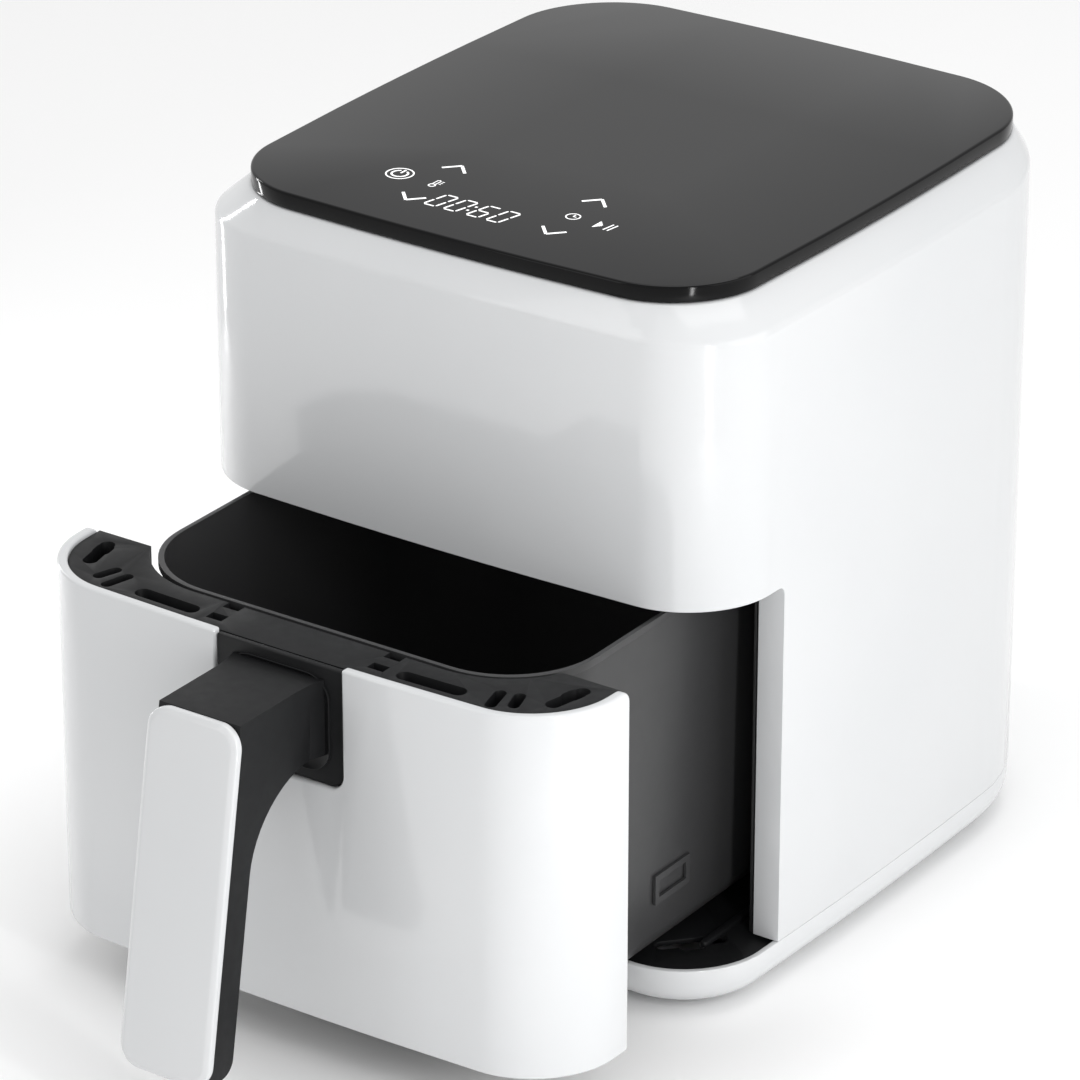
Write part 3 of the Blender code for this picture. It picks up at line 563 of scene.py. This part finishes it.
def liner_piece():
    """Dark cavity behind the opening: round corners and a pressed frame on each side wall."""
    outer = LINER_HIGH[0]
    low = (-outer, LINER_LOW[1] - 0.06, LINER_LOW[2])
    high = (outer, LINER_HIGH[1], LINER_HIGH[2])
    liner = rounded_block("liner", low, high, 0.041, 14)
    slice_at(liner, (0, LINER_LOW[1], 0), (0, 1, 0), "above")
    take_away(liner, lambda face: face.normal.z < -0.9)
    round_picked(
        liner,
        lambda edge: both(edge, 2, LINER_HIGH[2]) and len(edge.link_faces) == 2
        and any(face.normal.z < 0.5 for face in edge.link_faces),
        0.006, 4,
    )
    pick_all(liner)
    bpy.ops.mesh.normals_make_consistent(inside=False)
    close_edit()
    thicken(liner, 0.0012)
    low_z, high_z = LINER_HIGH[2] - 0.02, LINER_HIGH[2] + 0.02
    dome_low, dome_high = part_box("heater_dome")
    fan_y = (dome_low[1] + dome_high[1]) / 2
    radius = 0.082
    hole = rounded_block("heater_hole", (-radius, fan_y - radius, low_z), (radius, fan_y + radius, high_z),
                         radius - PLAY, 16)
    carve(liner, hole)
    soften(liner, 0.0004, 2, 40)
    finish_piece(liner, "housing", COATING, "coated_steel", "cavity_liner")
    frames = []
    for side in (-1, 1):
        inner = side * (outer - 0.0011)
        thick = 0.0007
        low_y, high_y = LINER_LOW[1] + 0.010, LINER_LOW[1] + 0.100
        low_x, high_x = sorted((inner, inner - side * thick))
        border = block("pressed_frame", (low_x, low_y, 0.040), (high_x, high_y, 0.150))
        pick(border, "EDGE", lambda edge: spans(edge, 0, thick / 2))
        bevel_picked(0.010, 6)
        window = block("window", (low_x - 0.01, low_y + 0.003, 0.043), (high_x + 0.01, high_y - 0.003, 0.147))
        pick(window, "EDGE", lambda edge: spans(edge, 0, 0.01))
        bevel_picked(0.0075, 6)
        carve(border, window)
        frames.append(border)
    ribs = join("liner_ribs", frames)
    soften(ribs, 0.0003, 2, 40)
    return finish_piece(ribs, "housing", COATING, "coated_steel")


def glass_piece():
    """Black glass lid with polished edges, slightly rounder above than below."""
    top = GLASS_HIGH[2] - 0.00006
    glass = glass_block("glass", 0, GLASS_LOW[2], top)
    round_picked(
        glass,
        lambda edge: both(edge, 2, top) and any(face.normal.z < 0.5 for face in edge.link_faces),
        0.0011, 5,
    )
    round_picked(
        glass,
        lambda edge: both(edge, 2, GLASS_LOW[2]) and any(face.normal.z > -0.5 for face in edge.link_faces),
        0.0007, 3,
    )
    smooth(glass)
    finish_piece(glass, "housing", GLASS, "black_glass", "glass_top")
    # The side faces get the darker edge finish: painted shade standing in for the dark reflection along the
    # rim.
    glass.data.materials.append(GLASS_EDGE_PAINTED_SHADE)
    for face in glass.data.polygons:
        if face.normal.z < 0.8:
            face.material_index = 1
    return glass


# ---------------------------------------------------------------- touch symbols

SYMBOL_TOP = GLASS_HIGH[2] - PLAY
SYMBOL_BOTTOM = GLASS_HIGH[2] - 0.00016
FRONT_EDGE = SHELL_LOW[1]


def stroke(start, end, width, pointed=False):
    """A thin printed bar between two points on the glass, with square or pointed ends."""
    start, end = Vector(start), Vector(end)
    length = (end - start).length
    centre = (start + end) / 2
    low = (centre.x - length / 2, centre.y - width / 2, SYMBOL_BOTTOM)
    high = (centre.x + length / 2, centre.y + width / 2, SYMBOL_TOP)
    if pointed:
        bar = rounded_block("stroke", low, high, width * 0.48, 1)
    else:
        bar = block("stroke", low, high)
    return turn(bar, math.atan2(end.y - start.y, end.x - start.x), "Z", (centre.x, centre.y, SYMBOL_TOP))


def arc(centre, radius, from_deg, to_deg, width, steps=20):
    points = []
    for i in range(steps + 1):
        angle = math.radians(from_deg + (to_deg - from_deg) * i / steps)
        points.append((centre[0] + radius * math.cos(angle), centre[1] + radius * math.sin(angle)))
    return [stroke(a, b, width) for a, b in zip(points, points[1:])]


DIGIT_BARS = {"0": "abcdef", "6": "acdefg"}


def digit(character, corner, width, height, slant, bar):
    """One seven-bar digit, leaning to the right."""
    gap = bar * 0.12
    half = height / 2
    ends = {
        "a": ((0, height), (width, height)), "d": ((0, 0), (width, 0)), "g": ((0, half), (width, half)),
        "f": ((0, half), (0, height)), "e": ((0, 0), (0, half)),
        "b": ((width, half), (width, height)), "c": ((width, 0), (width, half)),
    }
    bars = []
    for letter in DIGIT_BARS[character]:
        a, b = (Vector((corner[0] + x + y * slant, corner[1] + y)) for x, y in ends[letter])
        along = (b - a).normalized()
        bars.append(stroke(a + along * (bar * 0.35 + gap), b - along * (bar * 0.35 + gap), bar, pointed=True))
    return bars


def chevron(centre, up):
    sign = 1 if up else -1
    tip = (centre[0], centre[1] + sign * 0.0028)
    low = centre[1] - sign * 0.0028
    return [stroke((centre[0] - 0.0052, low), tip, 0.0012), stroke((centre[0] + 0.0052, low), tip, 0.0012)]


def symbols_piece():
    """White print: power, two pairs of arrows, a clock reading, start and pause, and two small pictograms."""
    y0 = FRONT_EDGE
    parts = []
    power = (-0.0505, y0 + 0.0475)
    parts += arc(power, 0.0052, 0, 360, 0.0006, 32)
    parts += arc(power, 0.0031, 115, 425, 0.0008, 24)
    parts.append(stroke((power[0], power[1] + 0.0006), (power[0], power[1] + 0.0040), 0.0008))
    for centre, up in (((-0.036, y0 + 0.064), True), ((-0.0335, y0 + 0.0305), False),
                       ((0.0255, y0 + 0.066), True), ((0.0275, y0 + 0.0325), False)):
        parts += chevron(centre, up)
    left, bottom = -0.0262, y0 + 0.0285
    width, height, slant, bar = 0.0053, 0.0116, 0.22, 0.0008
    for i, character in enumerate("0060"):
        shift = i * 0.0088 + (0.0014 if i > 1 else 0)
        parts += digit(character, (left + shift, bottom), width, height, slant, bar)
    for share in (0.32, 0.68):
        dot = (left + 0.0165 + slant * height * share, bottom + height * share)
        parts.append(stroke((dot[0] - 0.0005, dot[1]), (dot[0] + 0.0005, dot[1]), 0.0010))
    start = (0.0405, y0 + 0.0478)
    parts += [
        stroke((start[0] - 0.0030 + 0.0005 * k, start[1] - 0.0030 + 0.0006 * k),
               (start[0] - 0.0030 + 0.0005 * k, start[1] + 0.0030 - 0.0006 * k), 0.00052)
        for k in range(5)
    ]
    parts += [stroke((start[0] + dx, start[1] - 0.003), (start[0] + dx + 0.0008, start[1] + 0.003), 0.0006)
              for dx in (0.0016, 0.0034)]
    warm = (-0.0340, y0 + 0.0470)
    parts += arc((warm[0], warm[1] - 0.0022), 0.0013, 0, 360, 0.0005, 14)
    parts += arc((warm[0], warm[1] + 0.0024), 0.0007, 0, 180, 0.0004, 8)
    parts += [stroke((warm[0] + dx, warm[1] - 0.0011), (warm[0] + dx, warm[1] + 0.0024), 0.0004)
              for dx in (-0.0007, 0.0007)]
    parts += [stroke((warm[0] + 0.0015, warm[1] + dy), (warm[0] + 0.0025, warm[1] + dy), 0.0004)
              for dy in (0.0, 0.0012, 0.0024)]
    clock = (0.0262, y0 + 0.0490)
    parts += arc(clock, 0.0027, 0, 360, 0.0005, 24)
    parts.append(stroke(clock, (clock[0], clock[1] + 0.0018), 0.00045))
    parts.append(stroke(clock, (clock[0] + 0.0014, clock[1]), 0.00045))
    symbols = join("touch_symbols", parts)
    return finish_piece(symbols, "housing", SYMBOL, "white_plastic")


# ---------------------------------------------------------------- drawer

def panel_piece():
    """White drawer front, wrapped round both corners, with soft edges and a notch for the bracket."""
    low_z, high_z = PANEL_LOW[2], PANEL_HIGH[2]
    panel = housing_block("drawer_front", 0, low_z, high_z, DRAWER_CENTRE_Y)
    slice_at(panel, (0, PANEL_HIGH[1], 0), (0, 1, 0), "below")
    take_away(panel, lambda face: abs(face.normal.z) > 0.9)
    pick(
        panel, "VERT",
        lambda vert: abs(vert.co.y - PANEL_HIGH[1]) < PLAY and abs(vert.co.z - high_z) < PLAY,
    )
    bevel_picked(0.0042, 6, corners=True)
    thicken(panel, PANEL_WALL)
    half = BRACKET_HIGH[0] + FIT
    notch_low = BRACKET_LOW[2] - FIT
    front = PANEL_LOW[1]
    notch = block("notch", (-half, front - 0.01, notch_low), (half, front + 0.02, high_z + 0.02))
    pick(notch, "EDGE", lambda edge: both(edge, 2, notch_low) and spans(edge, 1, 0.01))
    bevel_picked(0.0062, 8)
    carve(panel, notch)
    soften(panel, 0.0011, 4, 40)
    return finish_piece(panel, "drawer", WHITE, "white_plastic", "drawer_panel")


# Place across, distance behind the first slot, length, width, depth, and turn in degrees
RIM_SLOTS = (
    (0.059, 0.0, 0.029, 0.0065, 0.008, 2),
    (0.0915, 0.006, 0.012, 0.0045, 0.009, 108),
    (0.0845, 0.003, 0.014, 0.0045, 0.009, 104),
    (0.1050, 0.018, 0.020, 0.0058, 0.008, 78),
    (0.1054, 0.021, 0.010, 0.0070, 0.008, 78),
)


def frame_piece():
    """Black moulded frame inside the drawer front: slotted top, ears with pockets, skirt down the back."""
    gap = PANEL_WALL + FIT
    top = RIM_HIGH[2]
    depth = 0.012
    rim = housing_block("drawer_rim", gap, top - depth, top, DRAWER_CENTRE_Y)
    slice_at(rim, (0, RIM_HIGH[1], 0), (0, 1, 0), "below")
    pick_all(rim)
    bpy.ops.mesh.select_mode(type="EDGE")
    bpy.ops.mesh.select_all(action="DESELECT")
    bpy.ops.mesh.select_non_manifold()
    bpy.ops.mesh.edge_face_add()
    close_edit()
    clear = 0.0003
    hollow = rounded_block("hollow", (PAN_LOW[0] - clear - 0.003, PAN_LOW[1] - clear - 0.003, 0),
                           (PAN_HIGH[0] + clear + 0.003, PAN_HIGH[1] + 0.05, 0.3), 0.041, 16)
    cutters = [hollow]
    over = top + 0.01
    slot_y = PANEL_LOW[1] + PANEL_WALL + 0.0085
    notch_y = PAN_LOW[1] - 0.0033
    for side in (-1, 1):
        for x, behind, length, width, deep, angle in RIM_SLOTS:
            centre = (side * x, slot_y + behind)
            cutters.append(slot_cutter(centre, length, width, top - deep, over, side * math.radians(angle)))
        low_x, high_x = sorted((side * 0.0325, side * 0.0395))
        cutters.append(block("hole", (low_x, slot_y - 0.0025, top - 0.006), (high_x, slot_y + 0.002, over)))
        cutters.append(block("nick", (low_x, notch_y - 0.004, top - 0.006), (high_x, notch_y + 0.01, over)))
    carve(rim, *cutters)
    soften(rim, 0.0004, 2, 40)

    skirt = housing_block("skirt", gap + 0.0004, PANEL_LOW[2] + 0.001, top - depth + 0.0015, DRAWER_CENTRE_Y)
    slice_at(skirt, (0, RIM_HIGH[1] - 0.002, 0), (0, 1, 0), "below")
    take_away(skirt, lambda face: abs(face.normal.z) > 0.9)
    thicken(skirt, 0.002)
    soften(skirt, 0.0004, 2, 40)
    ribs = []
    for x in (-0.066, -0.044, -0.022, 0.022, 0.044, 0.066):
        ribs.append(rounded_block("rib", (x - 0.0008, PANEL_LOW[1] + 0.0065, PANEL_LOW[2] + 0.003),
                                  (x + 0.0008, PANEL_LOW[1] + 0.013, top - depth + 0.001), 0.0006, 3))
    rim = join("drawer_rim", [rim, skirt] + ribs)
    return finish_piece(rim, "drawer", BLACK, "black_plastic", "drawer_frame")


def pan_piece():
    """Pressed pan: round corners, soft bottom edge, slight taper and a rolled rim."""
    lip = 0.0018
    low = (PAN_LOW[0] + lip, PAN_LOW[1] + lip, PAN_LOW[2])
    high = (PAN_HIGH[0] - lip, PAN_HIGH[1] - lip, PAN_HIGH[2])
    pan = rounded_block("pan_body", low, high, 0.0365, 16)
    take_away(pan, lambda face: face.normal.z > 0.9)
    centre_y = (low[1] + high[1]) / 2
    half_x, half_y = high[0], (high[1] - low[1]) / 2
    pick(pan, "VERT", lambda vert: abs(vert.co.z - low[2]) < PLAY)
    taper = 0.0035
    shrink = (1 - taper / half_x, 1 - taper / half_y, 1)
    bpy.ops.transform.resize(value=shrink, center_override=(0, centre_y, low[2]))
    close_edit()
    round_picked(pan, lambda edge: both(edge, 2, low[2]), 0.009, 7)
    pick(pan, "EDGE", lambda edge: both(edge, 2, high[2]) and edge.is_boundary)
    grow = (1 + lip / half_x, 1 + lip / half_y, 1)
    bpy.ops.mesh.extrude_edges_move(TRANSFORM_OT_translate={"value": (0, 0, 0)})
    bpy.ops.transform.resize(value=grow, center_override=(0, centre_y, high[2]))
    bpy.ops.mesh.extrude_edges_move(TRANSFORM_OT_translate={"value": (0, 0, -0.0028)})
    close_edit()
    pick_all(pan)
    bpy.ops.mesh.normals_make_consistent(inside=False)
    close_edit()
    thicken(pan, 0.0011)
    soften(pan, 0.0005, 3, 40)
    return finish_piece(pan, "drawer", COATING, "coated_steel", "pan")


def crisper_piece():
    """Crisper plate with a grid of holes, left solid at the four corners and in the middle."""
    low, high = PLATE_LOW, PLATE_HIGH
    plate = rounded_block("crisper", low, high, 0.031, 12)
    centre_y = (low[1] + high[1]) / 2
    pitch = 0.024
    cutters = []
    for row in range(-3, 4):
        for column in range(-3, 4):
            corner = abs(row) == 3 and abs(column) == 3
            if corner or row == column == 0:
                continue
            x, y = column * pitch, centre_y + row * pitch
            radius = 0.0045
            cutters.append(rounded_block("hole", (x - radius, y - radius, low[2] - 0.01),
                                         (x + radius, y + radius, high[2] + 0.01), radius - PLAY, 5))
    carve(plate, join("plate_holes", cutters))
    soften(plate, 0.0004, 2, 40)
    return finish_piece(plate, "crisper", COATING, "coated_steel", "crisper_plate")


# ---------------------------------------------------------------- handle

def bracket_piece():
    """Black plate let into the drawer front, with a raised collar round the arm."""
    low, high = BRACKET_LOW, BRACKET_HIGH
    plate = block("bracket", low, high)
    pick(plate, "EDGE", lambda edge: both(edge, 2, low[2]) and spans(edge, 1, 0.001))
    bevel_picked(0.006, 8)
    soften(plate, 0.0006, 3, 40)
    collar_low = (-0.0225, low[1] - 0.0012, GRIP_HIGH[2] - 0.0375)
    collar_high = (0.0225, low[1] + 0.0004, GRIP_HIGH[2] + 0.0014)
    collar = block("collar", collar_low, collar_high)
    pick(collar, "EDGE", lambda edge: spans(edge, 1, 0.001))
    bevel_picked(0.010, 10)
    pick(collar, "FACE", lambda face: face.normal.y < -0.9)
    bpy.ops.mesh.inset(thickness=0.0016)
    bpy.ops.transform.translate(value=(0, 0.0009, 0))
    close_edit()
    soften(collar, 0.0005, 3, 30)
    bracket = join("bracket", [plate, collar])
    return finish_piece(bracket, "drawer", BLACK, "black_plastic", "handle_bracket")


LEAN = math.radians(10.0)
ARM_HEIGHT = 0.030
GRIP_DEPTH = 0.014
GRIP_TOP = GRIP_HIGH[2]
ARM_BEND = 0.031
HANDLE_REACH = 0.046
ARM_FRONT = GRIP_HIGH[1] - HANDLE_REACH


def front_at(z):
    """How far forward the front of the grip is at a height."""
    return ARM_FRONT - (GRIP_TOP - z) * math.tan(LEAN)


def grip_piece():
    """Arm and grip in one: a wide arm that turns down into a slimmer grip through a long curve."""
    half = GRIP_HIGH[0]
    under = GRIP_TOP - ARM_HEIGHT
    grip = block("grip", (-half, front_at(GRIP_TOP), under), (half, GRIP_HIGH[1], GRIP_TOP))
    knee = front_at(under) + GRIP_DEPTH
    slice_at(grip, (0, knee, 0), (0, 1, 0))
    for vert in grip.data.vertices:
        if vert.co.y < ARM_FRONT + PLAY:
            vert.co.y = front_at(vert.co.z)
    pick(grip, "FACE", lambda face: face.normal.z < -0.9 and face.calc_center_median().y < knee)
    drop = under - GRIP_LOW[2]
    bpy.ops.mesh.extrude_region_move(TRANSFORM_OT_translate={"value": (0, -drop * math.tan(LEAN), -drop)})
    close_edit()
    round_picked(
        grip,
        lambda edge: both(edge, 2, under) and both(edge, 1, knee, 0.0002),
        ARM_BEND, 12,
    )
    round_picked(grip, lambda edge: spans(edge, 0, half) and both(edge, 2, GRIP_LOW[2]), 0.0055, 6)
    slice_at(grip, (0, GRIP_HIGH[1] - 0.014, 0), (0, 1, 0))
    slice_at(grip, (0, GRIP_HIGH[1] - 0.006, 0), (0, 1, 0))
    flare = 0.0022
    pick(grip, "VERT", lambda vert: vert.co.y > GRIP_HIGH[1] - PLAY)
    bpy.ops.transform.resize(value=(1 + flare / half, 1, 1), center_override=(0, 0, 0))
    close_edit()
    pick(grip, "VERT", lambda vert: abs(vert.co.y - GRIP_HIGH[1] + 0.006) < PLAY)
    bpy.ops.transform.resize(value=(1 + flare * 0.25 / half, 1, 1), center_override=(0, 0, 0))
    close_edit()
    soften(grip, 0.0050, 6, 55)
    return finish_piece(grip, "drawer", BLACK, "black_plastic", "handle_grip")


def cover_piece():
    """White cover down the front of the grip: round corners and a broad bevelled border."""
    half = COVER_HIGH[0]
    thick = 0.004
    length = 0.137
    start = Vector((0, ARM_FRONT, GRIP_TOP))
    outward = Vector((0, -math.cos(LEAN), math.sin(LEAN)))
    base = start + outward * FIT
    cover = block("cover", (-half, base.y - thick, base.z - length), (half, base.y, base.z))
    pick(cover, "EDGE", lambda edge: spans(edge, 1, thick / 2))
    bevel_picked(0.009, 12)
    pick(cover, "FACE", lambda face: face.normal.y < -0.9)
    bpy.ops.mesh.inset(thickness=0.0022)
    close_edit()
    pick(
        cover, "VERT",
        lambda vert: abs(vert.co.y - base.y + thick) < PLAY
        and any(face.normal.y > -0.5 for face in vert.link_faces),
    )
    bpy.ops.transform.translate(value=(0, 0.0010, 0))
    close_edit()
    turn(cover, -LEAN, "X", base)
    soften(cover, 0.0006, 3, 14)
    return finish_piece(cover, "drawer", WHITE, "white_plastic", "handle_cover")


# ---------------------------------------------------------------- nodes that keep their shape

def dress_nodes():
    """Finishes for the parts that stay as they come from the frame."""
    finishes = {
        "white_plastic": WHITE, "black_plastic": BLACK, "coated_steel": COATING, "black_glass": GLASS,
        "steel": STEEL, "aluminium": ALUMINIUM, "rubber": RUBBER, "silicone": RUBBER, "circuit_board": BOARD,
    }
    for entry in frame["record"]["subparts"]:
        node = frame["nodes"][entry["node"]]
        if not node.data.materials:
            node.data.materials.append(None)
        finish = COATING if entry["node"].startswith("pan_catch") else finishes[entry["material_slot"]]
        for slot in node.material_slots:
            slot.material = finish


# ---------------------------------------------------------------- studio

def studio():
    deselect()
    bpy.ops.mesh.primitive_plane_add(size=12, location=(0, 0, 0))
    floor = bpy.context.object
    floor.name = "studio_floor"
    paper = Finish("studio_paper", (0.92, 0.92, 0.92), 0.9)
    paper.drive("Roughness", paper.spread(paper.noise(3), 0.85, 0.95))
    floor.data.materials.append(paper.material)

    world = bpy.data.worlds.new("studio")
    bpy.context.scene.world = world
    world.use_nodes = True
    sky = world.node_tree.nodes["Background"]
    sky.inputs["Color"].default_value = (1.0, 1.0, 1.0, 1)
    sky.inputs["Strength"].default_value = 0.80

    add_softbox("side_softbox", (1.5, 0.3, 0.75), (0.0, 0.1, 0.15), 1.5, 1.3, 5.5)
    add_softbox("front_softbox", (-0.7, -1.5, 0.9), (0.0, 0.0, 0.15), 0.35, 1.3, 1.6)
    add_softbox("top_softbox", (0.1, 0.4, 1.9), (0.0, 0.1, 0.2), 1.4, 1.4, 9)
    add_softbox("right_strip", (0.52, -0.32, 0.26), (0.0, 0.0, 0.17), 0.030, 0.5, 1.3)
    add_softbox("left_strip", (-0.60, 0.0, 0.26), (0.0, 0.0, 0.17), 0.030, 0.5, 0.9)


def add_softbox(name, place, target, width, height, power):
    light = bpy.data.lights.new(name, "AREA")
    light.shape = "RECTANGLE"
    light.size = width
    light.size_y = height
    light.energy = power
    obj = bpy.data.objects.new(name, light)
    bpy.context.scene.collection.objects.link(obj)
    obj.location = place
    obj.rotation_euler = (Vector(target) - Vector(place)).to_track_quat("-Z", "Y").to_euler()
    obj.visible_camera = False


def camera():
    """A long lens from the front right, a little above."""
    azimuth, elevation = math.radians(34.75), math.radians(25.13)
    distance, across, lift = 2.2956, -0.0404, -0.0247
    target = Vector((0, CENTRE_Y, 0.1467))
    level = math.cos(elevation)
    back = Vector((math.sin(azimuth) * level, -math.cos(azimuth) * level, math.sin(elevation)))
    right = Vector((math.cos(azimuth), math.sin(azimuth), 0))
    up = back.cross(right)
    lens = bpy.data.cameras.new("camera")
    lens.sensor_width = 36
    lens.lens = 197.8
    lens.clip_end = 50
    obj = bpy.data.objects.new("camera", lens)
    bpy.context.scene.collection.objects.link(obj)
    obj.matrix_world = Matrix.Translation(target + back * distance + right * across + up * lift) @ Matrix(
        (right, up, back)
    ).transposed().to_4x4()
    bpy.context.scene.camera = obj


dress_nodes()
shell_piece()
base_piece()
floor_piece()
liner_piece()
glass_piece()
symbols_piece()
panel_piece()
frame_piece()
pan_piece()
crisper_piece()
bracket_piece()
grip_piece()
cover_piece()
studio()
camera()
bpy.context.scene.view_settings.view_transform = "Standard"
